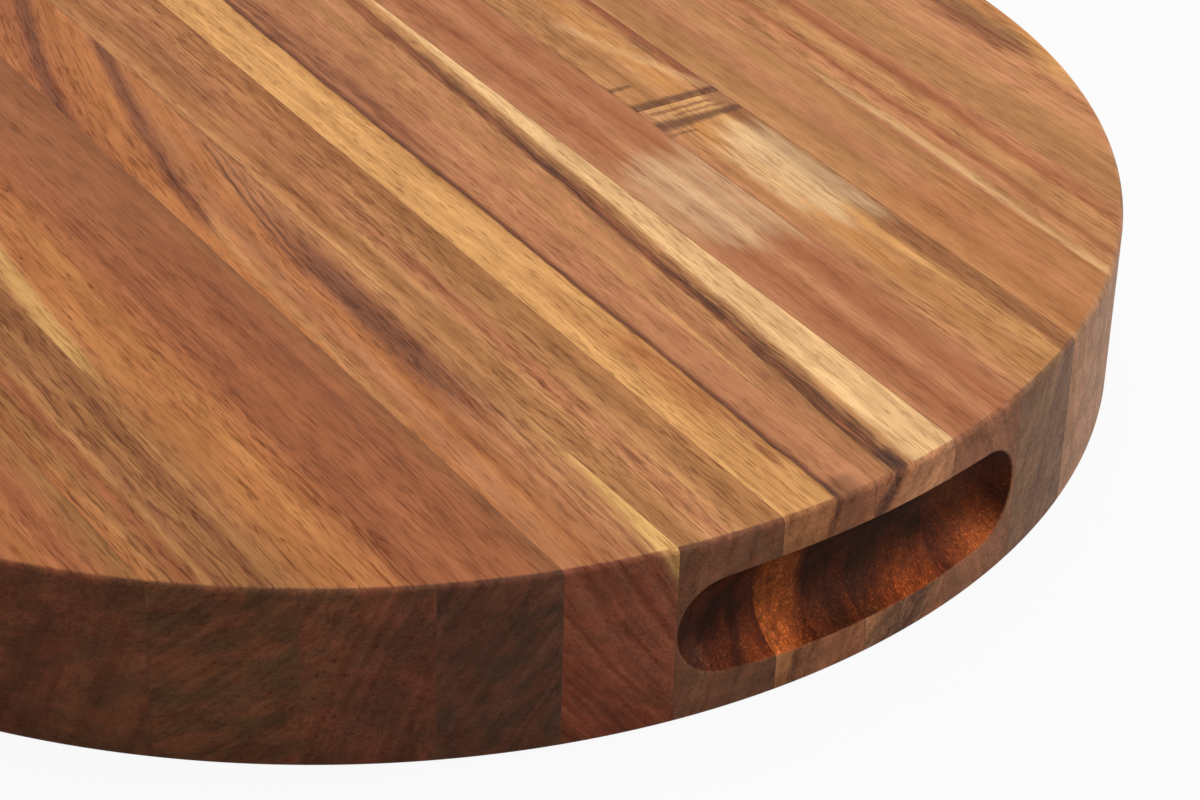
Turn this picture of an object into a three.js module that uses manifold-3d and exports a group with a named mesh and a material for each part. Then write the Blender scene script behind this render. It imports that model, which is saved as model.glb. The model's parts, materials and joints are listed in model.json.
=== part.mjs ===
// Round serving board: hardwood staves glued edge to edge, cut to a disc, with its edges rounded over and
// a coved finger grip routed into the rim at both ends of the grain.
// Millimetres, +Z up. The staves run along Y, and the origin is the middle of the underside.

import * as THREE from "three";
import { mergeVertices } from "three/addons/utils/BufferGeometryUtils.js";
import Module from "manifold-3d";

const wasm = await Module();
wasm.setup();

// The disc
const boardDiameter = 400;
const boardThickness = 46;
const edgeRadius = 1.5;

// The staves, and the glue film between each two of them
const staveWidth = 25.6;
const narrowestStave = 6;
const glueThickness = 0.2;
const middleJointX = -1.1;

// The finger grips: a round-nosed cutter, sent in from the rim and drawn sideways in a straight line
const gripHeight = 27;
const gripTravel = 81;
const gripDepth = 12.4;
const gripTurnDegrees = 7.25;

// The end joint of the one stave that is made of two lengths: tapered fingers stacked through its thickness.
// It is counted from the middle joint, towards +X.
const jointedStaveNumber = 4;
const fingerTipY = -24;
const fingerLength = 11;
const fingerTipThickness = 0.8;
const fingerCount = 12;
const fingerEndGap = 0.3;
const fingerFlankGap = 0.1;

// Facets, and how far a cutting shape runs past what it cuts
const discSegments = 120;
const edgeSegments = 3;
const gripSegments = 24;
const gripEndSegments = 6;
const overrun = 5;

// Finishes
const woodTones = { gold: 0xc08a4e, tan: 0xad7646, orange: 0xb06a3c, red: 0x9a5a38, brown: 0x87572f };
const leftTones = ["brown", "orange", "red", "orange", "brown", "orange", "brown", "tan"];
const rightTones = ["gold", "red", "red", "tan", "orange", "tan", "tan", "tan"];
const woodRoughness = 0.5;
const glueColor = 0xd9bd8c;
const glueRoughness = 0.6;

const boardRadius = boardDiameter / 2;
const jointPitch = staveWidth + glueThickness;

// A closed three.js geometry as a solid that can be cut. Triangles that shrink to nothing, such as those
// at the poles of a turned shape, are left out.
function solidFrom(geometry) {
  const bare = geometry.clone();
  bare.deleteAttribute("normal");
  bare.deleteAttribute("uv");
  const merged = mergeVertices(bare);
  const corners = merged.index.array;
  const triVerts = [];
  for (let i = 0; i < corners.length; i += 3) {
    const [a, b, c] = corners.slice(i, i + 3);
    if (a !== b && b !== c && c !== a) triVerts.push(a, b, c);
  }
  const mesh = new wasm.Mesh({
    numProp: 3,
    vertProperties: new Float32Array(merged.attributes.position.array),
    triVerts: new Uint32Array(triVerts),
  });
  return new wasm.Manifold(mesh);
}

function geometryFrom(solid) {
  const mesh = solid.getMesh();
  const geometry = new THREE.BufferGeometry();
  geometry.setAttribute("position", new THREE.BufferAttribute(mesh.vertProperties, 3));
  geometry.setIndex(new THREE.BufferAttribute(mesh.triVerts, 1));
  geometry.computeVertexNormals();
  return geometry;
}

// The disc is turned: a flat underside and top, a straight rim and a quarter round at each edge.
function disc() {
  const profile = new THREE.Path();
  const flatRadius = boardRadius - edgeRadius;
  profile.moveTo(0, 0);
  profile.lineTo(flatRadius, 0);
  profile.absarc(flatRadius, edgeRadius, edgeRadius, -Math.PI / 2, 0);
  profile.lineTo(boardRadius, boardThickness - edgeRadius);
  profile.absarc(flatRadius, boardThickness - edgeRadius, edgeRadius, 0, Math.PI / 2);
  profile.lineTo(0, boardThickness);
  const turned = new THREE.LatheGeometry(profile.getPoints(edgeSegments), discSegments);
  turned.rotateX(Math.PI / 2);
  return solidFrom(turned);
}

// The space that the cutter clears: its round nose swept along a straight line, level with the middle of
// the rim. It is gripDepth deep at its middle, and shallower towards its ends, where the rim curves away.
function gripCut(turn) {
  const cutterRadius = gripHeight / 2;
  const cut = new THREE.CapsuleGeometry(cutterRadius, gripTravel, gripEndSegments, gripSegments);
  cut.rotateZ(Math.PI / 2);
  cut.translate(0, -(boardRadius - gripDepth + cutterRadius), boardThickness / 2);
  cut.rotateZ(turn);
  return solidFrom(cut);
}

// A box that takes in the whole disc between two planes across X
function slab(fromX, toX) {
  const reach = boardDiameter + 2 * overrun;
  const box = new THREE.BoxGeometry(toX - fromX, reach, boardThickness + 2 * overrun);
  box.translate((fromX + toX) / 2, 0, boardThickness / 2);
  return solidFrom(box);
}

// The fingers' side outline, from the top face down, as points [y, z]. It runs to and fro between the
// fingers' tips and their roots. The gaps are zero for the length in front, and ease the one behind.
function fingerOutline(endGap, flankGap) {
  const tipY = fingerTipY + endGap;
  const rootY = tipY - fingerLength;
  const slope = (boardThickness - fingerTipThickness) / (2 * fingerCount) - fingerTipThickness;
  const points = [[tipY, boardThickness + overrun]];
  let z = boardThickness - fingerTipThickness - flankGap;
  for (let finger = 0; finger < fingerCount; finger += 1) {
    points.push([tipY, z]);
    z -= slope;
    points.push([rootY, z]);
    z -= fingerTipThickness - 2 * flankGap;
    points.push([rootY, z]);
    z -= slope;
    points.push([tipY, z]);
    z -= fingerTipThickness + 2 * flankGap;
  }
  points.push([tipY, -overrun]);
  return points;
}

// Everything on the one side of the finger joint, out to endY, across one stave
function fingerSide(endY, endGap, flankGap, fromX, toX) {
  const outline = fingerOutline(endGap, flankGap);
  const shape = new THREE.Shape();
  shape.moveTo(endY, boardThickness + overrun);
  for (const [y, z] of outline) shape.lineTo(y, z);
  shape.lineTo(endY, -overrun);
  shape.closePath();
  const depth = toX - fromX + 2 * overrun;
  const side = new THREE.ExtrudeGeometry(shape, { depth, bevelEnabled: false });
  side.rotateX(Math.PI / 2);
  side.rotateZ(Math.PI / 2);
  side.translate(fromX - overrun, 0, 0);
  return solidFrom(side);
}

// The glue lines lie one pitch apart on both sides of the middle one, as far as a useful stave is left.
function glueLines() {
  const lines = [];
  const lastX = boardRadius - narrowestStave;
  const first = Math.ceil((-lastX - middleJointX) / jointPitch);
  const last = Math.floor((lastX - middleJointX) / jointPitch);
  for (let place = first; place <= last; place += 1) {
    lines.push({ place, x: middleJointX + place * jointPitch });
  }
  return lines;
}

const board = new THREE.Group();
board.name = "serving_board";

function addPiece(name, solid, color, roughness) {
  const material = new THREE.MeshStandardMaterial({ color, roughness, metalness: 0 });
  const piece = new THREE.Mesh(geometryFrom(solid), material);
  piece.name = name;
  board.add(piece);
}

const grips = [0, Math.PI].map((side) => gripCut(THREE.MathUtils.degToRad(gripTurnDegrees) + side));
const blank = grips.reduce((wood, cut) => wood.subtract(cut), disc());
const lines = glueLines();
const outside = boardRadius + overrun;

// The staves are numbered outwards from the middle glue line, on both sides of it.
for (let index = 0; index <= lines.length; index += 1) {
  const fromX = index === 0 ? -outside : lines[index - 1].x + glueThickness / 2;
  const toX = index === lines.length ? outside : lines[index].x - glueThickness / 2;
  const stave = blank.intersect(slab(fromX, toX));
  const isRight = (fromX + toX) / 2 > middleJointX;
  const number = isRight ? lines[index - 1].place + 1 : -lines[index].place + 1;
  const name = `stave_${isRight ? "right" : "left"}_${number}`;
  const tones = isRight ? rightTones : leftTones;
  const color = woodTones[tones[(number - 1) % tones.length]];
  if (isRight && number === jointedStaveNumber) {
    const near = fingerSide(-outside, 0, 0, fromX, toX);
    const far = fingerSide(outside, fingerEndGap, fingerFlankGap, fromX, toX);
    addPiece(`${name}_near`, stave.intersect(near), color, woodRoughness);
    addPiece(`${name}_far`, stave.intersect(far), color, woodRoughness);
  } else {
    addPiece(name, stave, color, woodRoughness);
  }
}

for (const { place, x } of lines) {
  const film = blank.intersect(slab(x - glueThickness / 2, x + glueThickness / 2));
  const side = place < 0 ? "left" : "right";
  const name = place === 0 ? "glue_middle" : `glue_${side}_${Math.abs(place)}`;
  addPiece(name, film, glueColor, glueRoughness);
}

export default board;
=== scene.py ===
import json
import math

import bmesh
import bpy
from mathutils import Matrix, Vector


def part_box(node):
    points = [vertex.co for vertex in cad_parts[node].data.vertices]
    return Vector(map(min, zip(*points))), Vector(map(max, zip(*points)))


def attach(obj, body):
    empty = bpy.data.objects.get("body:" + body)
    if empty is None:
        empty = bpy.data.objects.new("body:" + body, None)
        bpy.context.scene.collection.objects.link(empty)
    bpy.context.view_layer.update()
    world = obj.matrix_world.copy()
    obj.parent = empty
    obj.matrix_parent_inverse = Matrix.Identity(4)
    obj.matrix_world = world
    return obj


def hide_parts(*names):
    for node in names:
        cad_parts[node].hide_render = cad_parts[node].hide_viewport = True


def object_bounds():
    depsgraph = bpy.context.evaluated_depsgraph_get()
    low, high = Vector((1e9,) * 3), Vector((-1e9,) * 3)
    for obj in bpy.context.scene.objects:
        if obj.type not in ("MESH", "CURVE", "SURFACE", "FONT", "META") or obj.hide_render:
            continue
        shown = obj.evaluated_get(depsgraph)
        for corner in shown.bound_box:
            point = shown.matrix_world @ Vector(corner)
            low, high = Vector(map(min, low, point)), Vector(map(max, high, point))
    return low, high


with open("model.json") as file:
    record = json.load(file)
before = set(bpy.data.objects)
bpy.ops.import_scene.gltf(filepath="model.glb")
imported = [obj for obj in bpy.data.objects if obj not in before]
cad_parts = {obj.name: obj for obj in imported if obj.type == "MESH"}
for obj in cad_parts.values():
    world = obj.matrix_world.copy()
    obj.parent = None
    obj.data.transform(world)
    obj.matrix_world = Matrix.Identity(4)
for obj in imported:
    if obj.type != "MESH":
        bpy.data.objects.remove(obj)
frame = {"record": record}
cad_low, cad_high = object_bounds()


# The blank
# Staves of hardwood are glued edge to edge into a panel, and the panel is sawn into a thick disc. Its edges
# are rounded over, and a round-nosed cutter routes a finger grip into the rim at both ends of the grain.

board_radius = cad_high.x
board_thickness = cad_high.z
edge_radius = 0.0015

cutter_radius = 0.0135
cutter_half_travel = 0.0405
grip_depth = 0.0124
grip_turn = math.radians(7.25)
lip_width = 0.0006

rim_step = math.radians(0.75)
half_rim_steps = 120
grip_frame_steps = 26
grip_frame_rings = 4
rim_rows = 16
edge_steps = 6
lip_steps = 5
cove_steps = 12
mouth_halvings = 40
mouth_line_share = 0.96
weld_distance = 1e-6

middle_height = board_thickness / 2
cutter_path_y = -(board_radius - grip_depth + cutter_radius)
mouth_line_turn = math.asin(cutter_half_travel / board_radius) * mouth_line_share
into_board = Vector((0, 1, 0))


def rim_point(turn, height, radius=board_radius):
    return Vector((radius * math.sin(turn), -radius * math.cos(turn), height))


def between(start, end, share):
    return start + (end - start) * share


def rim_profile():
    """Radius and height of each row, from the underside over the two rounded edges to the top."""
    lower = []
    for step in range(edge_steps + 1):
        angle = math.radians(90) * step / edge_steps
        inset = edge_radius * (1 - math.sin(angle))
        lower.append((board_radius - inset, edge_radius * (1 - math.cos(angle))))
    upper = [(radius, board_thickness - height) for radius, height in reversed(lower)]
    straight = []
    for row in range(1, rim_rows):
        height = between(edge_radius, board_thickness - edge_radius, row / rim_rows)
        straight.append((board_radius, height))
    return lower + straight + upper


def cutter_centre(place):
    """The point of the cutter's straight path that is nearest to a place."""
    along = max(-cutter_half_travel, min(cutter_half_travel, place.x))
    return Vector((along, cutter_path_y, middle_height))


def mouth_point(turn, height):
    """Where the grip's mouth ends, on the way from its middle line out to a place on the rim."""
    start = max(-mouth_line_turn, min(mouth_line_turn, turn))
    inside, outside = 0.0, 1.0
    for _ in range(mouth_halvings):
        share = (inside + outside) / 2
        place = rim_point(between(start, turn, share), between(middle_height, height, share))
        if (place - cutter_centre(place)).length < cutter_radius:
            inside = share
        else:
            outside = share
    return place


def grip_frame():
    """Turn and height of the rim's points round a rectangle that the grip is let into."""
    turns = [step * rim_step for step in range(-grip_frame_steps, grip_frame_steps + 1)]
    heights = [height for _, height in rim_profile()[edge_steps:edge_steps + rim_rows + 1]]
    lower = [(turn, heights[0]) for turn in turns]
    right = [(turns[-1], height) for height in heights[1:-1]]
    upper = [(turn, heights[-1]) for turn in reversed(turns)]
    left = [(turns[0], height) for height in reversed(heights[1:-1])]
    return lower + right + upper + left


def towards(direction, aim):
    direction = direction.normalized()
    return direction if direction.dot(aim) > 0 else -direction


def grip_column(turn, height, edge, along):
    """Points from the rim over the eased lip of the mouth and down the cove to its deepest line."""
    outward = Vector((edge.x, edge.y, 0)).normalized()
    to_cutter = (cutter_centre(edge) - edge).normalized()
    outer = edge + lip_width * towards(along.cross(outward), rim_point(turn, height) - edge)
    outer_turn = math.atan2(outer.x, -outer.y)
    inner = edge + lip_width * towards(along.cross(to_cutter), into_board)
    centre = cutter_centre(inner)
    reach = (inner - centre).normalized()
    column = []
    for ring in range(grip_frame_rings):
        share = ring / grip_frame_rings
        column.append(rim_point(between(turn, outer_turn, share), between(height, outer.z, share)))
    start = rim_point(outer_turn, outer.z)
    end = centre + reach * cutter_radius
    for step in range(lip_steps):
        share = step / lip_steps
        column.append(between(between(start, edge, share), between(edge, end, share), share))
    for step in range(cove_steps + 1):
        column.append(centre + reach.slerp(into_board, step / cove_steps) * cutter_radius)
    return column


def grip_columns():
    rim_places = grip_frame()
    mouth = [mouth_point(turn, height) for turn, height in rim_places]
    columns = []
    for index, (turn, height) in enumerate(rim_places):
        along = mouth[(index + 1) % len(mouth)] - mouth[index - 1]
        columns.append(grip_column(turn, height, mouth[index], along))
    return columns


def half_rim_faces():
    """Corner points of every face on one half of the rim, with its grip."""
    faces = []
    rows = rim_profile()
    for step in range(-half_rim_steps, half_rim_steps):
        turns = (step * rim_step, (step + 1) * rim_step)
        beside_grip = step < -grip_frame_steps or step >= grip_frame_steps
        for row in range(len(rows) - 1):
            if beside_grip or not edge_steps <= row < edge_steps + rim_rows:
                (low_radius, low), (high_radius, high) = rows[row], rows[row + 1]
                below = [rim_point(turn, low, low_radius) for turn in turns]
                above = [rim_point(turn, high, high_radius) for turn in reversed(turns)]
                faces.append(below + above)
    columns = grip_columns()
    for index, column in enumerate(columns):
        before = columns[index - 1]
        for ring in range(len(column) - 1):
            faces.append([before[ring], column[ring], column[ring + 1], before[ring + 1]])
    return faces


def blank_mesh():
    """The whole blank. Its rim is made of flat triangles, so that every cut through it closes cleanly."""
    shape = bmesh.new()
    faces = half_rim_faces()
    for half_turn in (0, math.pi):
        spin = Matrix.Rotation(grip_turn + half_turn, 3, "Z")
        for corners in faces:
            shape.faces.new([shape.verts.new(spin @ corner) for corner in corners])
    bmesh.ops.remove_doubles(shape, verts=shape.verts, dist=weld_distance)
    bmesh.ops.triangulate(shape, faces=shape.faces)
    open_edges = [edge for edge in shape.edges if edge.is_boundary]
    bmesh.ops.holes_fill(shape, edges=open_edges, sides=0)
    bmesh.ops.recalc_face_normals(shape, faces=shape.faces)
    mesh = bpy.data.meshes.new("blank")
    shape.to_mesh(mesh)
    shape.free()
    return mesh


blank = blank_mesh()


# The staves
# Each is a straight strip of oiled acacia, sawn from another board, so each has a grain and a colour of its
# own. They are glued side by side, and their outer ends take the blank's round outline.

millimetre = 0.001
sharp_angle = math.radians(35)
tone_line_y = -70.0
oil_gloss = 0.05

tones = {
    "pale": (230, 200, 156),
    "cream": (219, 178, 128),
    "straw": (218, 174, 110),
    "gold": (208, 156, 98),
    "honey": (193, 137, 81),
    "tan": (182, 131, 86),
    "olive": (161, 112, 70),
    "orange": (176, 114, 69),
    "rose": (180, 123, 86),
    "red": (155, 95, 62),
    "brown": (141, 92, 60),
    "russet": (125, 75, 53),
    "umber": (99, 66, 48),
    "dark": (67, 46, 38),
    "amber": (166, 92, 48),
    "ember": (117, 57, 26),
    "char": (40, 19, 10),
}


def linear(levels):
    """A colour in 0 to 255 levels as the linear one that a shader takes."""
    shares = [level / 255 for level in levels]
    return (*[share / 12.92 if share <= 0.04045 else ((share + 0.055) / 1.055) ** 2.4 for share in shares], 1)


def add(tree, kind, inputs, **settings):
    made = tree.nodes.new(kind)
    for key, value in settings.items():
        setattr(made, key, value)
    for key, value in inputs.items():
        if isinstance(value, bpy.types.NodeSocket):
            tree.links.new(value, made.inputs[key])
        else:
            made.inputs[key].default_value = value
    return made


def maths(tree, operation, *values):
    return add(tree, "ShaderNodeMath", dict(enumerate(values)), operation=operation).outputs[0]


def ease(tree, value, start, end, first=0.0, last=1.0):
    inputs = {"Value": value, "From Min": start, "From Max": end, "To Min": first, "To Max": last}
    made = add(tree, "ShaderNodeMapRange", inputs, interpolation_type="SMOOTHSTEP")
    return made.outputs["Result"]


def mix(tree, mode, share, colour, other):
    inputs = {"Factor": share, 6: colour, 7: other}
    return add(tree, "ShaderNodeMix", inputs, data_type="RGBA", blend_type=mode).outputs[2]


def stretched(tree, vector, scales, seed):
    """A place in the grain, drawn out along it, for a pattern with a seed of its own."""
    offset = add(tree, "ShaderNodeCombineXYZ", {0: seed, 1: seed, 2: seed}).outputs[0]
    inputs = {0: vector, 1: scales, 2: offset}
    return add(tree, "ShaderNodeVectorMath", inputs, operation="MULTIPLY_ADD").outputs[0]


# Each pattern's repeats in a millimetre across, along and down the grain, then its detail and roughness
grain_noises = {
    "swing": ((0.016, 0.007, 0.022), 1, 0.5),
    "waver": ((0.14, 0.04, 0.14), 3, 0.6),
    "busy": ((0.06, 0.016, 0.06), 2, 0.5),
    "rings": ((0.5, 0.004, 0.03), 3, 0.6),
    "streaks": ((0.17, 0.009, 0.17), 4, 0.62),
    "fibres": ((0.55, 0.022, 0.55), 4, 0.66),
    "lines": ((1.5, 0.09, 1.5), 3, 0.62),
    "hairs": ((0.32, 0.018, 0.32), 2, 0.5),
    "mottle": ((0.16, 0.07, 0.16), 3, 0.6),
    "specks": ((2.4, 0.9, 2.4), 2, 0.6),
    "glue": ((0.3, 0.12, 0.3), 3, 0.5),
}
pore_scales = (2.4, 0.17, 2.4)
waver_width = 2.0


def noise(tree, vector, pattern, seed):
    scales, detail, roughness = grain_noises[pattern]
    place = stretched(tree, vector, scales, seed)
    inputs = {"Vector": place, "Scale": 1, "Detail": detail, "Roughness": roughness}
    return add(tree, "ShaderNodeTexNoise", inputs).outputs["Fac"]


def about_zero(tree, pattern):
    """A pattern that swings evenly to both sides of zero."""
    return maths(tree, "SUBTRACT", pattern, 0.5)


def new_group(name, inputs, outputs):
    tree = bpy.data.node_groups.new(name, "ShaderNodeTree")
    for socket in inputs:
        tree.interface.new_socket(socket, in_out="INPUT", socket_type="NodeSocketFloat")
    for socket in outputs:
        tree.interface.new_socket(socket, in_out="OUTPUT", socket_type="NodeSocketFloat")
    return tree, tree.nodes.new("NodeGroupInput").outputs, tree.nodes.new("NodeGroupOutput").inputs


def hundreds_along(tree, along):
    """Hundreds of millimetres from the line across the board that the staves' tones are set out on."""
    return maths(tree, "DIVIDE", maths(tree, "SUBTRACT", along, tone_line_y), 100)


def grain_place(tree, given, place):
    """How far a point lies across, along and down in its stave's grain.

    Across counts from the stave's left joint and follows the grain as it leans, bows and wanders along the
    stave. Rake and bend slant it on the way down, as growth rings slant and curve on end grain.
    """
    x, y, z = add(tree, "ShaderNodeSeparateXYZ", {0: place}).outputs
    depth = maths(tree, "SUBTRACT", board_thickness / millimetre, z)
    hundreds = hundreds_along(tree, y)
    beyond = maths(tree, "MAXIMUM", hundreds, 0)
    tens = maths(tree, "DIVIDE", depth, 10)
    swing = about_zero(tree, noise(tree, place, "swing", given["Seed"]))
    waver = about_zero(tree, noise(tree, place, "waver", given["Seed"]))
    across = maths(tree, "SUBTRACT", x, given["Left"])
    across = maths(tree, "SUBTRACT", across, maths(tree, "MULTIPLY", hundreds, given["Lean"]))
    bow = maths(tree, "MULTIPLY", maths(tree, "MULTIPLY", beyond, beyond), given["Bow"])
    across = maths(tree, "SUBTRACT", across, bow)
    across = maths(tree, "MULTIPLY_ADD", depth, given["Rake"], across)
    across = maths(tree, "MULTIPLY_ADD", maths(tree, "MULTIPLY", tens, tens), given["Bend"], across)
    across = maths(tree, "MULTIPLY_ADD", swing, given["Wander"], across)
    across = maths(tree, "MULTIPLY_ADD", waver, waver_width, across)
    return across, y, depth


smallest_pore = 0.45
longest_reach = 0.38
pore_edge = (-0.02, 0.05)


def pore_marks(tree, grain, seed):
    """Short dark dashes along the grain, each in a cell of its own and of its own size."""
    place = stretched(tree, grain, pore_scales, seed)
    cells = add(tree, "ShaderNodeTexVoronoi", {"Vector": place, "Scale": 1}).outputs
    size = add(tree, "ShaderNodeSeparateColor", {0: cells["Color"]}).outputs[0]
    reach = ease(tree, size, smallest_pore, 1, 0, longest_reach)
    return ease(tree, maths(tree, "SUBTRACT", reach, cells["Distance"]), *pore_edge)


grip_edge_depth = 0.5
grip_half_heights = (14, 17)


def grip_share(tree, place):
    """1 on the surface of the two finger grips and 0 elsewhere."""
    x, y, z = add(tree, "ShaderNodeSeparateXYZ", {0: place}).outputs
    flat = add(tree, "ShaderNodeCombineXYZ", {0: x, 1: y}).outputs[0]
    radius = add(tree, "ShaderNodeVectorMath", {0: flat}, operation="LENGTH").outputs["Value"]
    off_middle = maths(tree, "ABSOLUTE", maths(tree, "SUBTRACT", z, middle_height / millimetre))
    rim = board_radius / millimetre
    inside = ease(tree, radius, rim, rim - grip_edge_depth)
    return maths(tree, "MULTIPLY", inside, ease(tree, off_middle, *grip_half_heights, 1, 0))


end_grain_slopes = (0.03, 0.45)


def end_share(tree, normal):
    """1 on the rim at the ends of the grain, and 0 on the top, the underside and the long sides."""
    y = add(tree, "ShaderNodeSeparateXYZ", {0: normal}).outputs["Y"]
    return ease(tree, maths(tree, "ABSOLUTE", y), *end_grain_slopes)


patch_limits = (0.36, 0.64)
fine_range = (0.4, 1.3)
hair_widths = (0.004, 0.017)
hair_limits = (0.4, 0.6)
speck_limits = (0.54, 0.68)
lower_grip_depths = (26, 37)


def grain_group():
    """The grain and figure of the wood at a point, from the settings of its stave."""
    names = ["Left", "Lean", "Bow", "Rake", "Bend", "Wander", "Ragged", "Seed"]
    results = ["Across", "Along", "Rings", "Streaks", "Fibres", "Fine", "Hairs", "Mottle", "Pores", "Specks",
               "End", "Routed", "Low"]
    tree, given, found = new_group("acacia_grain", names, results)
    seed = given["Seed"]
    coordinates = add(tree, "ShaderNodeTexCoord", {}).outputs
    inputs = {0: coordinates["Object"], "Scale": 1 / millimetre}
    place = add(tree, "ShaderNodeVectorMath", inputs, operation="SCALE").outputs[0]
    across, along, depth = grain_place(tree, given, place)
    grain = add(tree, "ShaderNodeCombineXYZ", {0: across, 1: along, 2: depth}).outputs[0]
    busy = ease(tree, noise(tree, grain, "busy", seed), *patch_limits, *fine_range)
    lines = about_zero(tree, noise(tree, grain, "lines", seed))
    fibres = noise(tree, grain, "fibres", seed)
    ragged = maths(tree, "MULTIPLY", about_zero(tree, fibres), given["Ragged"])
    ridge = about_zero(tree, noise(tree, grain, "hairs", seed))
    hair = ease(tree, maths(tree, "ABSOLUTE", ridge), *hair_widths, 1, 0)
    figure = {
        "Across": maths(tree, "ADD", across, ragged),
        "Along": along,
        "Rings": noise(tree, grain, "rings", seed),
        "Streaks": noise(tree, grain, "streaks", seed),
        "Fibres": fibres,
        "Fine": maths(tree, "MULTIPLY_ADD", lines, busy, 0.5),
        "Hairs": maths(tree, "MULTIPLY", hair, ease(tree, fibres, *hair_limits)),
        "Mottle": noise(tree, grain, "mottle", seed),
        "Pores": pore_marks(tree, grain, seed),
        "Specks": ease(tree, noise(tree, grain, "specks", seed), *speck_limits),
        "End": end_share(tree, coordinates["Normal"]),
        "Routed": grip_share(tree, place),
        "Low": ease(tree, depth, *lower_grip_depths),
    }
    for result, socket in figure.items():
        tree.links.new(socket, found[result])
    return tree


band_edge = (0.25, 1.2)
feather_reach = 1.6
gap_limits = (0.88, 1.1)
mark_raggedness = 2.5
mark_fade = 1.0


def band_across(tree, off, width):
    """1 in the middle of a band and 0 beside it."""
    half = maths(tree, "MULTIPLY", width, 0.5)
    return ease(tree, maths(tree, "DIVIDE", maths(tree, "ABSOLUTE", off), half), *band_edge, 1, 0)


def stretch_along(tree, along, start, end, fade):
    """1 between two places and 0 past them, with soft ends."""
    starts = ease(tree, along, maths(tree, "SUBTRACT", start, fade), start)
    ends = ease(tree, along, end, maths(tree, "ADD", end, fade), 1, 0)
    return maths(tree, "MULTIPLY", starts, ends)


def streak_group():
    """How strongly a dark or pale streak shows: a broken band that follows the grain between two places."""
    names = ["Across", "Along", "Fibres", "Fine", "At", "Width", "Lean", "From", "To", "Fade", "Breaks",
             "Strength"]
    tree, given, found = new_group("acacia_streak", names, ["Amount"])
    drift = maths(tree, "MULTIPLY", hundreds_along(tree, given["Along"]), given["Lean"])
    off = maths(tree, "SUBTRACT", maths(tree, "SUBTRACT", given["Across"], given["At"]), drift)
    amount = maths(tree, "MULTIPLY", band_across(tree, off, given["Width"]), given["Strength"])
    feathers = maths(tree, "MULTIPLY", about_zero(tree, given["Fibres"]), given["Fade"])
    feathered = maths(tree, "MULTIPLY_ADD", feathers, feather_reach, given["Along"])
    stretch = stretch_along(tree, feathered, given["From"], given["To"], given["Fade"])
    amount = maths(tree, "MULTIPLY", amount, stretch)
    lines = maths(tree, "ADD", given["Fibres"], given["Fine"])
    gaps = maths(tree, "MULTIPLY", ease(tree, lines, *gap_limits, 1, 0), given["Breaks"])
    whole = maths(tree, "SUBTRACT", 1, gaps)
    tree.links.new(maths(tree, "MULTIPLY", amount, whole), found["Amount"])
    return tree


def mark_group():
    """How strongly a dark mark shows: a bar across the stave, of another width at its two ends."""
    names = ["Across", "Along", "Fibres", "At", "First", "Last", "From", "To", "Strength"]
    tree, given, found = new_group("acacia_mark", names, ["Amount"])
    reach = maths(tree, "SUBTRACT", given["To"], given["From"])
    share = maths(tree, "DIVIDE", maths(tree, "SUBTRACT", given["Across"], given["From"]), reach)
    change = maths(tree, "SUBTRACT", given["Last"], given["First"])
    width = maths(tree, "MULTIPLY_ADD", share, change, given["First"])
    ragged = maths(tree, "MULTIPLY", about_zero(tree, given["Fibres"]), mark_raggedness)
    off = maths(tree, "ADD", maths(tree, "SUBTRACT", given["Along"], given["At"]), ragged)
    amount = maths(tree, "MULTIPLY", band_across(tree, off, width), given["Strength"])
    stretch = stretch_along(tree, given["Across"], given["From"], given["To"], mark_fade)
    tree.links.new(maths(tree, "MULTIPLY", amount, stretch), found["Amount"])
    return tree


grain_tree = grain_group()
streak_tree = streak_group()
mark_tree = mark_group()
ramp_margin = 12.5
ramp_length = 50.0


def ramp_of_tones(tree, across, stops):
    reach = maths(tree, "PINGPONG", maths(tree, "ADD", across, ramp_margin), ramp_length)
    ramp = add(tree, "ShaderNodeValToRGB", {0: maths(tree, "DIVIDE", reach, ramp_length)})
    marks = ramp.color_ramp.elements
    for _ in stops[2:]:
        marks.new(0.5)
    for mark, (at, name) in zip(marks, stops):
        mark.position = (at + ramp_margin) / ramp_length
        mark.color = linear(tones[name])
    return ramp.outputs["Color"]


def shaded(tree, colour, strength, amount, start, end, dark, pale):
    """Lightens a colour where a pattern is weak, and darkens it where the pattern is strong."""
    shade = mix(tree, "MIX", ease(tree, amount, start, end), (*pale, 1), (*dark, 1))
    return mix(tree, "MULTIPLY", strength, colour, shade)


figure_shades = {
    "Rings": (0.28, 0.72, (0.62, 0.5, 0.42), (1.2, 1.2, 1.16)),
    "Streaks": (0.28, 0.72, (0.6, 0.5, 0.42), (1.3, 1.3, 1.26)),
    "Fibres": (0.28, 0.72, (0.6, 0.5, 0.42), (1.24, 1.24, 1.2)),
    "Fine": (0.47, 0.64, (0.42, 0.33, 0.27), (1.14, 1.14, 1.12)),
    "Mottle": (0.28, 0.72, (0.76, 0.68, 0.62), (1.2, 1.2, 1.2)),
}
face_strengths = {"Rings": 0.12, "Streaks": 0.45, "Fibres": 0.35, "Fine": 0.5, "Mottle": 0.35}
end_strengths = {"Rings": 0.5, "Streaks": 0.12, "Fibres": 0.2, "Fine": 0.4, "Mottle": 0.45}
end_soak = 0.8
end_breaks = 0.25
# The whole surface of the grips is coloured darker, in these two tones.
grip_tones = [(96, 44, 23), (62, 27, 14)]
grip_tone_share = 0.97
band_fibre_breaks = (0.35, 0.6, 0.35, 1)
band_fade = (-50, 50, 1, 0.3)
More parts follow.
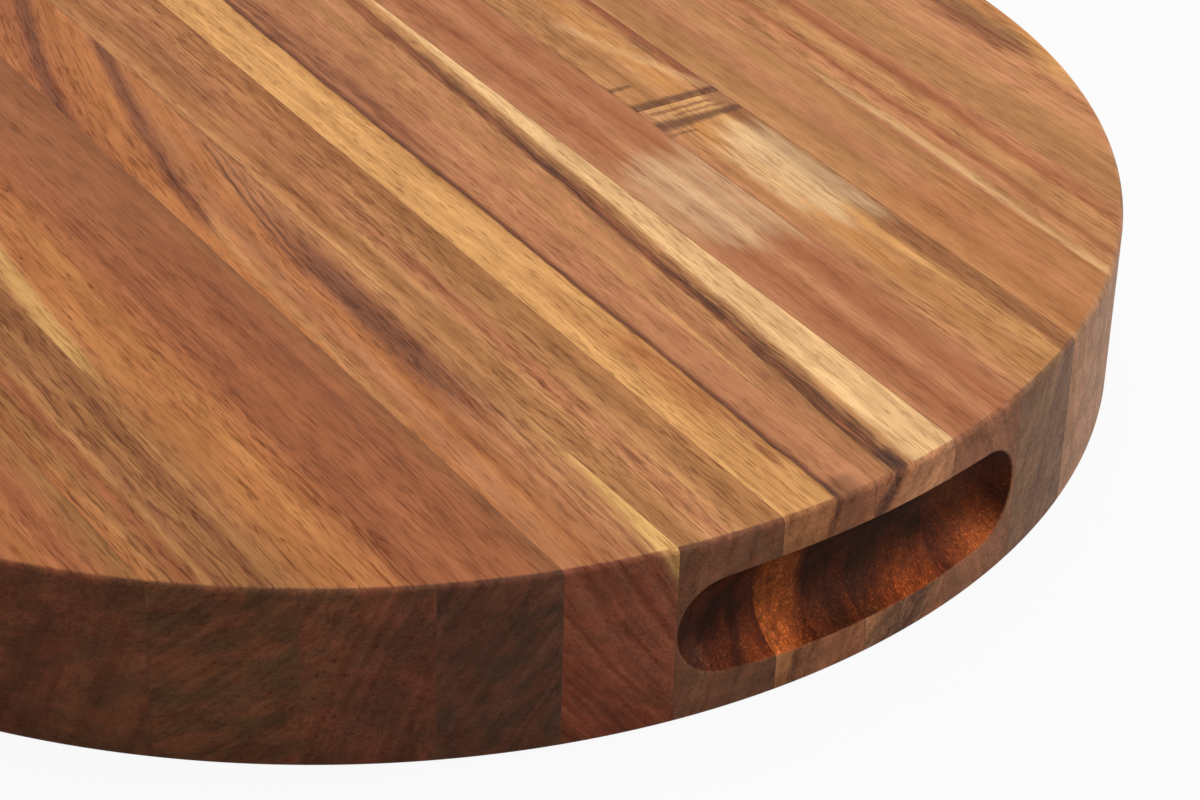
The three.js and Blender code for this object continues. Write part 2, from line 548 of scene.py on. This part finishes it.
# Painted light and shade in the grips: the upper half is darkened and the lower half lightened.
upper_grip_painted_shade = (0.72, 0.64, 0.54, 1)
lower_grip_painted_light = (2.3, 2.0, 1.55, 1)
hair_shade = (0.5, 0.38, 0.3, 1)
pore_shade = (0.4, 0.32, 0.27, 1)
# Painted glints of light, as bright specks over the grips.
painted_glint_light = (2.8, 3.1, 2.9, 1)
painted_glint_strength = 0.75

usual_wood = {
    "lean": 0.0, "bow": 0.0, "rake": 0.0, "bend": 0.0, "wander": 3.0, "ragged": 1.6, "breaks": 0.35,
    "hairs": 0.4, "pores": 0.4, "figure": {}, "end_figure": {}, "grip": grip_tones,
    "streaks": [], "marks": [], "end_streaks": [], "grip_bands": [],
}


def overlaid(tree, colour, group, grain, values, tone):
    """A colour under a streak or mark of another tone."""
    for key in ("Across", "Along", "Fibres"):
        values[key] = grain[key]
    amount = add(tree, "ShaderNodeGroup", values, node_tree=group).outputs["Amount"]
    return mix(tree, "MIX", amount, colour, linear(tones[tone]))


def streaked(tree, colour, grain, streaks, breaks):
    """A colour under streaks that are whole where breaks is 0, and broken up by the fibres where it is 1."""
    for at, width, lean, start, end, fade, tone, strength in streaks:
        values = {"At": at, "Width": width, "Lean": lean, "From": start, "To": end, "Fade": fade,
                  "Breaks": breaks, "Fine": grain["Fine"], "Strength": strength}
        colour = overlaid(tree, colour, streak_tree, grain, values, tone)
    return colour


def face_colour(tree, grain, wood):
    """The stave's tones from its left joint to its right one, with its streaks and marks."""
    colour = ramp_of_tones(tree, grain["Across"], wood["tones"])
    colour = streaked(tree, colour, grain, wood["streaks"], wood["breaks"])
    for at, first, last, start, end, tone, strength in wood["marks"]:
        values = {"At": at, "First": first, "Last": last, "From": start, "To": end, "Strength": strength}
        colour = overlaid(tree, colour, mark_tree, grain, values, tone)
    return colour


def between_tones(tree, share, pair):
    first, second = pair
    return mix(tree, "MIX", share, linear(first), linear(second))


def end_colour(tree, colour, grain, wood):
    """The colour on the rim, where the end grain soaks up the oil and is darker."""
    patches = ease(tree, grain["Streaks"], *patch_limits)
    soaked = maths(tree, "MULTIPLY", grain["End"], end_soak)
    colour = mix(tree, "MIX", soaked, colour, between_tones(tree, patches, wood["end"]))
    return streaked(tree, colour, grain, wood["end_streaks"], end_breaks)


def grip_colour(tree, colour, grain, wood):
    """The colour in the finger grips: darker again, with painted shade up high and painted light low down.

    The bands of other tones in it fade along the stave, and are weak in the far grip.
    """
    patches = ease(tree, grain["Streaks"], *patch_limits)
    routed = between_tones(tree, patches, wood["grip"])
    # Each band is a tone of the wood, but its strengths above and below also paint shade high in the grip and
    # light low in it.
    for at, width, tone, upper, lower in wood["grip_bands"]:
        share = band_across(tree, maths(tree, "SUBTRACT", grain["Across"], at), width)
        fibre_broken = ease(tree, grain["Fibres"], *band_fibre_breaks)
        near = ease(tree, grain["Along"], *band_fade)
        strength = maths(tree, "MULTIPLY_ADD", grain["Low"], lower - upper, upper)
        strength = maths(tree, "MULTIPLY", maths(tree, "MULTIPLY", fibre_broken, near), strength)
        routed = mix(tree, "MIX", maths(tree, "MULTIPLY", share, strength), routed, linear(tones[tone]))
    # Painted shade in the upper half of the grips and painted light in the lower half, by depth.
    light = mix(tree, "MIX", grain["Low"], upper_grip_painted_shade, lower_grip_painted_light)
    routed = mix(tree, "MULTIPLY", 1, routed, light)
    return mix(tree, "MIX", maths(tree, "MULTIPLY", grain["Routed"], grip_tone_share), colour, routed)


def figured(tree, colour, grain, wood):
    """The colour with the wood's figure, hairlines and pores, and with painted glints as bright specks in the
    grips.
    """
    strengths = {**face_strengths, **wood["figure"]}
    ends = {**end_strengths, **wood["end_figure"]}
    for figure, (start, end, dark, pale) in figure_shades.items():
        change = ends[figure] - strengths[figure]
        here = maths(tree, "MULTIPLY_ADD", grain["End"], change, strengths[figure])
        colour = shaded(tree, colour, here, grain[figure], start, end, dark, pale)
    hairs = maths(tree, "MULTIPLY", grain["Hairs"], wood["hairs"])
    colour = mix(tree, "MULTIPLY", hairs, colour, hair_shade)
    pores = maths(tree, "MULTIPLY", grain["Pores"], wood["pores"])
    colour = mix(tree, "MULTIPLY", pores, colour, pore_shade)
    # Bright specks painted over the grips as glints of light.
    routed = maths(tree, "MULTIPLY", grain["Routed"], painted_glint_strength)
    return mix(tree, "MULTIPLY", maths(tree, "MULTIPLY", grain["Specks"], routed), colour, painted_glint_light)


wood_roughness = (0.42, 0.55)
roughness_limits = (0.3, 0.7)
fibre_relief = 0.5
relief_strength = 0.15
relief_height = 0.0002


def acacia(name, left, stave):
    """Oiled acacia, from one stave's own tones, grain and streaks."""
    wood = {**usual_wood, **stave}
    material = bpy.data.materials.new(name)
    material.use_nodes = True
    tree = material.node_tree
    shader = tree.nodes["Principled BSDF"]
    values = {"Left": left / millimetre}
    for key in ("lean", "bow", "rake", "bend", "wander", "ragged", "seed"):
        values[key.capitalize()] = wood[key]
    grain = add(tree, "ShaderNodeGroup", values, node_tree=grain_tree).outputs
    colour = face_colour(tree, grain, wood)
    colour = end_colour(tree, colour, grain, wood)
    colour = grip_colour(tree, colour, grain, wood)
    colour = figured(tree, colour, grain, wood)
    tree.links.new(colour, shader.inputs["Base Color"])
    roughness = ease(tree, grain["Fibres"], *roughness_limits, *wood_roughness)
    tree.links.new(roughness, shader.inputs["Roughness"])
    shader.inputs["Specular IOR Level"].default_value = oil_gloss
    raised = maths(tree, "MULTIPLY", grain["Fibres"], fibre_relief)
    relief = maths(tree, "SUBTRACT", raised, grain["Pores"])
    inputs = {"Height": relief, "Strength": relief_strength, "Distance": relief_height}
    tree.links.new(add(tree, "ShaderNodeBump", inputs).outputs[0], shader.inputs["Normal"])
    return material


def slice_tree():
    """Cuts the blank between two planes across X."""
    tree = bpy.data.node_groups.new("slice_of_the_blank", "GeometryNodeTree")
    tree.interface.new_socket("Geometry", in_out="INPUT", socket_type="NodeSocketGeometry")
    for size in ("From X", "To X", "Length", "Thickness"):
        tree.interface.new_socket(size, in_out="INPUT", socket_type="NodeSocketFloat")
    tree.interface.new_socket("Finish", in_out="INPUT", socket_type="NodeSocketMaterial")
    tree.interface.new_socket("Geometry", in_out="OUTPUT", socket_type="NodeSocketGeometry")
    given = tree.nodes.new("NodeGroupInput").outputs
    width = maths(tree, "SUBTRACT", given["To X"], given["From X"])
    middle = maths(tree, "MULTIPLY_ADD", width, 0.5, given["From X"])
    half_up = maths(tree, "MULTIPLY", given["Thickness"], 0.5)
    deep = maths(tree, "MULTIPLY", given["Thickness"], 2)
    long = maths(tree, "MULTIPLY", given["Length"], 2)
    size = add(tree, "ShaderNodeCombineXYZ", {0: width, 1: long, 2: deep}).outputs[0]
    place = add(tree, "ShaderNodeCombineXYZ", {0: middle, 2: half_up}).outputs[0]
    box = add(tree, "GeometryNodeMeshCube", {"Size": size}).outputs["Mesh"]
    saw = add(tree, "GeometryNodeTransform", {"Geometry": box, "Translation": place}).outputs[0]
    cut = add(tree, "GeometryNodeMeshBoolean", {}, operation="INTERSECT", solver="MANIFOLD")
    tree.links.new(given["Geometry"], cut.inputs["Mesh 2"])
    tree.links.new(saw, cut.inputs["Mesh 2"])
    whole = add(tree, "GeometryNodeRealizeInstances", {"Geometry": cut.outputs["Mesh"]}).outputs[0]
    inputs = {"Geometry": whole, "Material": given["Finish"]}
    finished = add(tree, "GeometryNodeSetMaterial", inputs).outputs[0]
    tree.links.new(finished, tree.nodes.new("NodeGroupOutput").inputs["Geometry"])
    return tree


slicer = slice_tree()


def slice_of_blank(name, node, finish):
    """A new piece: the blank, to be cut between the two planes that its CAD node lies between."""
    low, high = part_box(node)
    piece = bpy.data.objects.new(name, blank)
    bpy.context.scene.collection.objects.link(piece)
    cut = piece.modifiers.new("slice", "NODES")
    cut.node_group = slicer
    values = {"From X": low.x, "To X": high.x, "Length": board_radius, "Thickness": board_thickness,
              "Finish": finish}
    for socket in slicer.interface.items_tree:
        if socket.in_out == "INPUT" and socket.name in values:
            cut[socket.identifier] = values[socket.name]
    return piece


def settle(piece, node):
    """Turns a piece's modifiers into its plain mesh, and puts it in the place of its CAD node."""
    shaped = piece.evaluated_get(bpy.context.evaluated_depsgraph_get())
    mesh = bpy.data.meshes.new_from_object(shaped)
    piece.modifiers.clear()
    piece.data = mesh
    mesh.shade_smooth()
    mesh.set_sharp_from_angle(angle=sharp_angle)
    piece.modifiers.new("even_shading", "WEIGHTED_NORMAL").keep_sharp = True
    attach(piece, "root")
    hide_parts(node)


slots = {entry["node"]: entry["material_slot"] for entry in frame["record"]["subparts"]}

# Each stave's settings, in millimetres. Tones are (across, tone). A streak is (across, width, lean, from y,
# to y, fade, tone, strength), a mark is (y, first width, last width, from across, to across, tone, strength),
# and a grip band is (across, width, tone, strength above, strength below).
staves = {
    "stave_left_8": {
        "seed": 8.1, "rake": 0.4, "lean": 1.0, "end": [(122, 80, 60), (98, 70, 56)],
        "tones": [(0, "tan"), (9, "olive"), (13, "tan"), (18, "rose"), (26, "tan")],
    },
    "stave_left_7": {
        "seed": 7.1, "rake": -0.5, "lean": -2.0, "end": [(112, 66, 50), (80, 56, 46)],
        "tones": [(0, "olive"), (5, "brown"), (9, "olive"), (14, "russet"), (18, "brown"), (26, "olive")],
    },
    "stave_left_6": {
        "seed": 6.1, "rake": 0.3, "lean": 1.5, "end": [(118, 66, 50), (86, 56, 46)],
        "tones": [(0, "orange"), (5, "red"), (10, "orange"), (15, "red"), (18, "red"), (25, "olive")],
    },
    "stave_left_5": {
        "seed": 5.1, "rake": 0.8, "bend": 0.3, "lean": 1.0, "end": [(122, 70, 52), (80, 58, 45)],
        "figure": {"Fine": 0.7, "Fibres": 0.45}, "hairs": 0.7, "pores": 0.5,
        "tones": [(0, "orange"), (5, "olive"), (9, "red"), (12, "olive"), (14, "brown"), (18, "olive"),
                  (21, "brown"), (25, "olive")],
        "streaks": [(12, 2.5, 0, -170, -40, 30, "tan", 0.6)],
    },
    "stave_left_4": {
        "seed": 4.1, "rake": 0.5, "bend": -0.3, "lean": 1.0, "end": [(118, 66, 54), (84, 58, 48)],
        "figure": {"Fine": 0.55}, "hairs": 0.8, "pores": 0.45,
        "tones": [(0, "olive"), (8, "orange"), (12, "orange"), (18, "orange"), (25, "red")],
        "streaks": [(0.5, 6, 8, -60, 0, 25, "straw", 0.8), (9, 6, 1, -160, -60, 30, "honey", 0.5),
                    (16, 5, 1, -150, -20, 40, "honey", 0.55)],
    },
    "stave_left_3": {
        "seed": 3.1, "rake": 0.6, "lean": 0.5, "end": [(100, 62, 52), (62, 52, 46)],
        "figure": {"Streaks": 0.3, "Fibres": 0.25, "Fine": 0.45}, "hairs": 0.2, "pores": 0.3,
        "tones": [(0, "red"), (6, "red"), (14, "red"), (20, "red"), (26, "brown")],
        "streaks": [(18, 5, 0, -125, -55, 40, "russet", 0.65), (14, 22, 0, 0, 120, 50, "brown", 0.6)],
    },
    "stave_left_2": {
        "seed": 2.1, "rake": -0.45, "bend": -0.5, "lean": 4.0, "bow": 6.0,
        "end": [(134, 69, 56), (112, 62, 52)],
        "figure": {"Fine": 0.6, "Fibres": 0.3}, "end_figure": {"Rings": 0.85}, "ragged": 1.0, "breaks": 0.1,
        "hairs": 0.4, "pores": 0.45,
        "tones": [(-12, "red"), (-4, "orange"), (2.5, "orange"), (7, "rose"), (11, "orange"), (18, "rose"),
                  (25.2, "tan"), (36, "olive")],
        "streaks": [(2.5, 4, 0, -110, -25, 30, "tan", 0.8), (-22.6, 6, 7.7, 40, 120, 20, "russet", 0.9),
                    (-22.6, 2.6, 7.7, 45, 110, 15, "umber", 0.4), (-1.1, 6, 5.2, -10, 90, 25, "russet", 0.9),
                    (-1.1, 2.4, 5.2, 5, 80, 15, "umber", 0.35), (12.5, 1.4, 4.1, -50, 5, 15, "umber", 0.7),
                    (14.6, 1, 4.1, -40, 0, 15, "umber", 0.6), (17.2, 13, -2, -115, -55, 40, "russet", 0.9),
                    (17.2, 7, -2, -110, -65, 30, "umber", 0.6), (16, 20, 0, -220, -150, 30, "tan", 0.2),
                    (12, 3, 0, -220, -140, 20, "red", 0.6), (19, 2, 0, -220, -120, 25, "red", 0.7),
                    (23, 1.4, 0, -200, -130, 20, "russet", 0.5),
                    (36.2, 10, 5.5, -230, -138, 14, "straw", 1)],
        "end_streaks": [(30.5, 10, 0, -230, -190, 3, "straw", 1)],
    },
    "stave_left_1": {
        "seed": 1.1, "rake": 0.25, "lean": 1.0, "end": [(112, 69, 58), (94, 66, 54)],
        "grip": [(72, 34, 19), (48, 23, 12)], "grip_bands": [(33, 12, "ember", 0.1, 0.5)],
        "figure": {"Fibres": 0.4, "Fine": 0.65}, "hairs": 0.5, "pores": 0.6,
        "tones": [(0, "tan"), (4, "olive"), (8, "tan"), (12, "rose"), (16, "tan"), (21, "olive"),
                  (26, "olive")],
        "streaks": [(13, 40, 0, -20, 140, 40, "red", 0.45), (9, 8, 0, 45, 80, 20, "brown", 0.8),
                    (12, 5, 0, -130, -65, 25, "red", 0.6)],
    },
    "stave_right_1": {
        "seed": 11.1, "rake": 0.25, "lean": 0.3, "wander": 1.0, "end": [(164, 108, 76), (132, 84, 60)],
        "grip": [(70, 31, 15), (44, 19, 9)],
        "grip_bands": [(11.5, 12, "amber", 0.8, 0.85), (17, 9, "amber", 0.7, 0), (27, 12, "char", 0.95, 0.5)],
        "figure": {"Rings": 0.1, "Streaks": 0.35, "Fibres": 0.3, "Fine": 0.4}, "pores": 0.75,
        "tones": [(0, "gold"), (13.4, "gold"), (14.5, "honey"), (15, "umber"), (15.7, "russet"),
                  (17, "rose"), (20, "rose"), (26, "rose")],
        "streaks": [(19, 8, 0, 0, 90, 40, "russet", 0.75), (12.5, 4, 0, -175, -130, 12, "red", 0.75),
                    (11, 8, 0, -150, -122, 16, "orange", 0.95), (7, 9, 0, -185, -140, 20, "orange", 0.2),
                    (8, 7, 0, -125, -95, 20, "orange", 0.45), (6, 14, 0, -220, -150, 20, "honey", 0.3)],
        "end_streaks": [(15.8, 2.5, 0, -230, -194, 4, "dark", 0.6),
                        (19.5, 9, 0, -230, -194, 4, "umber", 0.6)],
    },
    "stave_right_2": {
        "seed": 12.1, "rake": 0.7, "lean": 4.8, "wander": 1.5, "end": [(184, 122, 88), (142, 92, 70)],
        "grip": [(60, 25, 12), (36, 16, 8)],
        "grip_bands": [(32, 16, "char", 0.7, 0.2), (46, 24, "ember", 0, 0.9)],
        "figure": {"Fine": 0.4}, "ragged": 3.4, "breaks": 0.75, "pores": 0.6,
        "tones": [(-12, "rose"), (0, "rose"), (4, "tan"), (8, "rose"), (11, "tan"), (12.6, "red"),
                  (13.6, "red"), (14.6, "red"), (15.6, "tan"), (17.6, "tan"), (18.8, "cream"),
                  (36, "cream")],
        "streaks": [(14, 9, 0, -220, 0, 60, "umber", 0.5), (14, 4, 0, -220, 60, 20, "umber", 0.55),
                    (13.8, 3, 0, -58, -30, 14, "dark", 0.55), (14.6, 2, 0, -220, -105, 15, "dark", 0.5),
                    (12.2, 1.6, 0, -220, -120, 15, "dark", 0.5),
                    (16.4, 1.2, 0, -190, -125, 15, "umber", 0.8)],
        "end_streaks": [(14, 6, 0, -230, -190, 4, "dark", 0.85), (48, 28, 0, -230, -190, 4, "dark", 0.85)],
    },
    "stave_right_3": {
        "seed": 13.1, "rake": -0.4, "lean": 0.5, "end": [(146, 96, 72), (122, 86, 64)],
        "grip": [(84, 38, 20), (54, 25, 13)], "grip_bands": [(2, 20, "amber", 0.15, 0.5)],
        "figure": {"Streaks": 0.25, "Fibres": 0.25, "Fine": 0.35}, "hairs": 0.2, "pores": 0.3,
        "breaks": 0.15,
        "tones": [(0, "rose"), (8, "red"), (14, "rose"), (20, "red"), (26, "rose")],
        "streaks": [(2, 5, 0, -78, -64, 20, "pale", 0.3), (7, 7, 0, -86, -58, 18, "pale", 0.45),
                    (13, 8, 0, -90, -54, 16, "pale", 0.55), (19, 7, 0, -84, -60, 20, "pale", 0.45),
                    (24, 5, 0, -92, -52, 16, "pale", 0.4)],
    },
    "stave_right_5": {
        "seed": 15.1, "rake": -0.2, "lean": 0.5, "end": [(166, 124, 96), (144, 112, 86)],
        "figure": {"Streaks": 0.3, "Fibres": 0.25, "Fine": 0.3}, "hairs": 0.2, "pores": 0.3,
        "tones": [(0, "tan"), (8, "olive"), (14, "rose"), (20, "tan"), (26, "olive")],
        "streaks": [(13, 60, 0, -230, -98, 16, "orange", 0.6)],
    },
    "stave_right_6": {
        "seed": 16.1, "rake": 0.2, "lean": 1.0, "end": [(160, 118, 88), (138, 106, 78)],
        "tones": [(0, "rose"), (3.6, "tan"), (7.5, "rose"), (9.5, "red"), (12, "tan"), (17, "tan"),
                  (20, "red"), (25, "rose")],
        "streaks": [(2.4, 3.4, 0, -150, -40, 20, "cream", 0.9), (13, 60, 0, -230, -114, 14, "olive", 0.4)],
    },
    "stave_right_7": {
        "seed": 17.1, "rake": 0.2, "lean": 0.5, "end": [(160, 118, 88), (138, 106, 78)],
        "figure": {"Streaks": 0.3, "Fibres": 0.25, "Fine": 0.35}, "hairs": 0.2, "pores": 0.3,
        "tones": [(0, "tan"), (8, "olive"), (14, "tan"), (20, "rose"), (26, "tan")],
    },
    "stave_right_8": {
        "seed": 18.1, "rake": 0.2, "end": [(160, 118, 88), (138, 106, 78)],
        "tones": [(0, "rose"), (8, "tan"), (14, "honey"), (20, "rose")],
        "streaks": [(3, 5, 0, -34, -16, 12, "russet", 0.7), (7, 6, 0, -42, -6, 14, "russet", 0.9),
                    (11, 6, 0, -38, -12, 12, "umber", 0.7), (15, 5, 0, -30, -18, 10, "russet", 0.6),
                    (8, 7, 0, -72, -58, 14, "gold", 0.6)],
    },
}

for node, wood in staves.items():
    finish = acacia(f"acacia_{node}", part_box(node)[0].x, wood)
    settle(slice_of_blank(f"{node}_wood", node, finish), node)


# The stave of two lengths
# One stave is pieced from two lengths of acacia. Tapered fingers, cut through the thickness at both ends,
# are glued into each other, and the joint shows as lines across the top.

finger_tip_y = -0.024
finger_length = 0.011
finger_tip_thickness = 0.0008
finger_count = 12
finger_end_gap = 0.0003
finger_flank_gap = 0.0001
overrun = 0.005


def finger_outline(end_gap, flank_gap):
    """The fingers' side outline from the top face down, as places along Y and up Z."""
    tip = finger_tip_y + end_gap
    root = tip - finger_length
    slope = (board_thickness - finger_tip_thickness) / (2 * finger_count) - finger_tip_thickness
    places = [(tip, board_thickness + overrun)]
    height = board_thickness - finger_tip_thickness - flank_gap
    for _ in range(finger_count):
        places.append((tip, height))
        height -= slope
        places.append((root, height))
        height -= finger_tip_thickness - 2 * flank_gap
        places.append((root, height))
        height -= slope
        places.append((tip, height))
        height -= finger_tip_thickness + 2 * flank_gap
    places.append((tip, -overrun))
    return places


def finger_side(name, node, end_y, end_gap, flank_gap):
    """A block that holds everything on one side of the joint."""
    low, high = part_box(node)
    outline = [(end_y, board_thickness + overrun)] + finger_outline(end_gap, flank_gap) + [(end_y, -overrun)]
    shape = bmesh.new()
    corners = [shape.verts.new((low.x - overrun, y, z)) for y, z in outline]
    side = shape.faces.new(corners)
    grown = bmesh.ops.extrude_face_region(shape, geom=[side])["geom"]
    moved = [item for item in grown if isinstance(item, bmesh.types.BMVert)]
    bmesh.ops.translate(shape, verts=moved, vec=(high.x - low.x + 2 * overrun, 0, 0))
    bmesh.ops.recalc_face_normals(shape, faces=shape.faces)
    mesh = bpy.data.meshes.new(name)
    shape.to_mesh(mesh)
    shape.free()
    return bpy.data.objects.new(name, mesh)


lengths = {
    "stave_right_4_near": {
        "seed": 14.1, "rake": 0.3, "lean": 0.5, "end": [(114, 86, 70), (100, 78, 64)], "breaks": 0.15,
        "tones": [(0, "rose"), (6, "tan"), (10, "honey"), (14, "tan"), (18, "gold"), (21, "brown"),
                  (24, "brown"), (26, "olive")],
        "streaks": [(12, 34, 0, -31, -26, 4, "cream", 0.3), (13, 60, 0, -230, -135, 20, "olive", 0.4),
                    (3, 7, 0, -84, -54, 14, "tan", 0.8), (8, 6, 0, -82, -60, 16, "pale", 0.45),
                    (13, 7, 0, -92, -52, 14, "pale", 0.6), (18, 7, 0, -86, -48, 12, "pale", 0.68),
                    (23, 6, 0, -94, -52, 14, "pale", 0.5)],
        "marks": [(-27.2, 2.6, 1.8, 2, 20, "russet", 0.7), (-30.2, 2.2, 1.5, 7, 22, "russet", 0.6),
                  (-34.2, 8, 3.2, -2, 26, "umber", 0.84), (-39.5, 2.4, 1.6, -2, 8, "umber", 0.5)],
    },
    "stave_right_4_far": {
        "seed": 14.6, "rake": -0.3, "lean": 0.5, "end": [(114, 86, 70), (100, 78, 64)],
        "tones": [(0, "tan"), (6, "olive"), (11, "tan"), (15, "honey"), (20, "tan"), (23, "red"),
                  (26, "russet")],
        "streaks": [(38.7, 5, -30, -24, 26, 10, "cream", 0.5), (21.8, 4, 0, 6, 12, 5, "umber", 0.5)],
        "marks": [(-22.2, 6, 3.6, -2, 27, "umber", 0.84), (-10.5, 3.4, 2, -2, 6, "umber", 0.7)],
    },
}
reach_y = board_radius + overrun
joint_sides = {
    "stave_right_4_near": (-reach_y, 0, 0),
    "stave_right_4_far": (reach_y, finger_end_gap, finger_flank_gap),
}

for node, wood in lengths.items():
    finish = acacia(f"acacia_{node}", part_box(node)[0].x, wood)
    length = slice_of_blank(f"{node}_wood", node, finish)
    block = finger_side(f"{node}_block", node, *joint_sides[node])
    trim = length.modifiers.new("fingers", "BOOLEAN")
    trim.operation = "INTERSECT"
    trim.solver = "EXACT"
    trim.object = block
    settle(length, node)
    bpy.data.meshes.remove(block.data)


# The glue films
# A thin film of wood glue is left between each two staves when the panel is clamped. It is sanded flush and
# oiled with the wood, so it shows only as a fine red-brown line, darker on the rim.

glue_seed = 3.3
glue_roughness = (0.45, 0.6)
blotch_limits = (0.35, 0.65)


def cured_glue():
    material = bpy.data.materials.new("cured_glue")
    material.use_nodes = True
    tree = material.node_tree
    shader = tree.nodes["Principled BSDF"]
    coordinates = add(tree, "ShaderNodeTexCoord", {}).outputs
    inputs = {0: coordinates["Object"], "Scale": 1 / millimetre}
    place = add(tree, "ShaderNodeVectorMath", inputs, operation="SCALE").outputs[0]
    blotch = noise(tree, place, "glue", glue_seed)
    share = ease(tree, blotch, *blotch_limits)
    colour = mix(tree, "MIX", share, linear(tones["red"]), linear(tones["russet"]))
    colour = mix(tree, "MIX", end_share(tree, coordinates["Normal"]), colour, linear(tones["umber"]))
    colour = mix(tree, "MIX", grip_share(tree, place), colour, linear(grip_tones[1]))
    tree.links.new(colour, shader.inputs["Base Color"])
    roughness = ease(tree, blotch, *roughness_limits, *glue_roughness)
    tree.links.new(roughness, shader.inputs["Roughness"])
    shader.inputs["Specular IOR Level"].default_value = oil_gloss
    return material


glue = cured_glue()
for node, slot in slots.items():
    if node.startswith("glue"):
        settle(slice_of_blank(f"{node}_film", node, glue), node)

bpy.data.meshes.remove(blank)


# The studio
# A plain white floor under a wide soft light, with weaker ones from the front and the right. The camera is
# close to the board and looks down along the staves.

floor_size = 12.0
floor_grey = (0.45, 0.45, 0.45, 1)
floor_roughness = 0.9
floor_glow = 0.93
world_fill = 0.2


def white_for_camera(tree):
    """1 for rays that show the background: straight to the camera, mirrored, or through glass."""
    rays = add(tree, "ShaderNodeLightPath", {}).outputs
    shown = maths(tree, "MAXIMUM", rays["Is Camera Ray"], rays["Is Glossy Ray"])
    return maths(tree, "MAXIMUM", shown, rays["Is Transmission Ray"])


def studio_floor():
    shape = bmesh.new()
    bmesh.ops.create_grid(shape, x_segments=1, y_segments=1, size=floor_size / 2)
    mesh = bpy.data.meshes.new("studio_floor")
    shape.to_mesh(mesh)
    shape.free()
    floor = bpy.data.objects.new("studio_floor", mesh)
    bpy.context.scene.collection.objects.link(floor)
    material = bpy.data.materials.new("white_paper")
    material.use_nodes = True
    tree = material.node_tree
    paper = tree.nodes["Principled BSDF"]
    paper.inputs["Base Color"].default_value = floor_grey
    paper.inputs["Roughness"].default_value = floor_roughness
    glow = add(tree, "ShaderNodeEmission", {"Color": (1, 1, 1, 1), "Strength": 1.0})
    share = maths(tree, "MULTIPLY", white_for_camera(tree), floor_glow)
    both = add(tree, "ShaderNodeMixShader", {0: share, 1: paper.outputs[0], 2: glow.outputs[0]})
    tree.links.new(both.outputs[0], tree.nodes["Material Output"].inputs["Surface"])
    mesh.materials.append(material)


def studio_world():
    world = bpy.data.worlds.new("white_studio")
    world.use_nodes = True
    tree = world.node_tree
    sky = tree.nodes["Background"]
    sky.inputs["Color"].default_value = (1, 1, 1, 1)
    tree.links.new(ease(tree, white_for_camera(tree), 0, 1, world_fill, 1), sky.inputs["Strength"])
    bpy.context.scene.world = world


def soft_light(name, place, aim, width, height, power):
    lamp = bpy.data.lights.new(name, "AREA")
    lamp.shape = "RECTANGLE"
    lamp.size = width
    lamp.size_y = height
    lamp.energy = power
    light = bpy.data.objects.new(name, lamp)
    light.location = place
    light.rotation_euler = (Vector(aim) - Vector(place)).to_track_quat("-Z", "Y").to_euler()
    bpy.context.scene.collection.objects.link(light)


def studio_camera():
    lens = bpy.data.cameras.new("camera")
    lens.sensor_width = camera_film_width
    lens.lens = camera_lens
    camera = bpy.data.objects.new("camera", lens)
    sight = (camera_aim - camera_place).to_track_quat("-Z", "Y").to_matrix()
    turned = sight @ Matrix.Rotation(camera_roll, 3, "Z")
    camera.matrix_world = Matrix.Translation(camera_place) @ turned.to_4x4()
    bpy.context.scene.collection.objects.link(camera)
    bpy.context.scene.camera = camera


camera_place = Vector((-0.39146, -0.71071, 0.47043))
camera_aim = Vector((-0.0091, -0.1389, 0.046))
camera_film_width = 36
camera_lens = 107.22
camera_roll = math.radians(1.87)

studio_floor()
studio_world()
soft_light("top_light", (0.5, 0.1, 1.7), (0, 0, 0), 1.6, 1.6, 27)
soft_light("front_light", (0.2, -1.5, 1.3), (0, -0.15, 0.02), 0.8, 0.8, 7)
soft_light("right_light", (1.7, -0.6, 0.8), (0, -0.05, 0.02), 1.2, 1.0, 12)
studio_camera()
bpy.context.scene.view_settings.view_transform = "Standard"
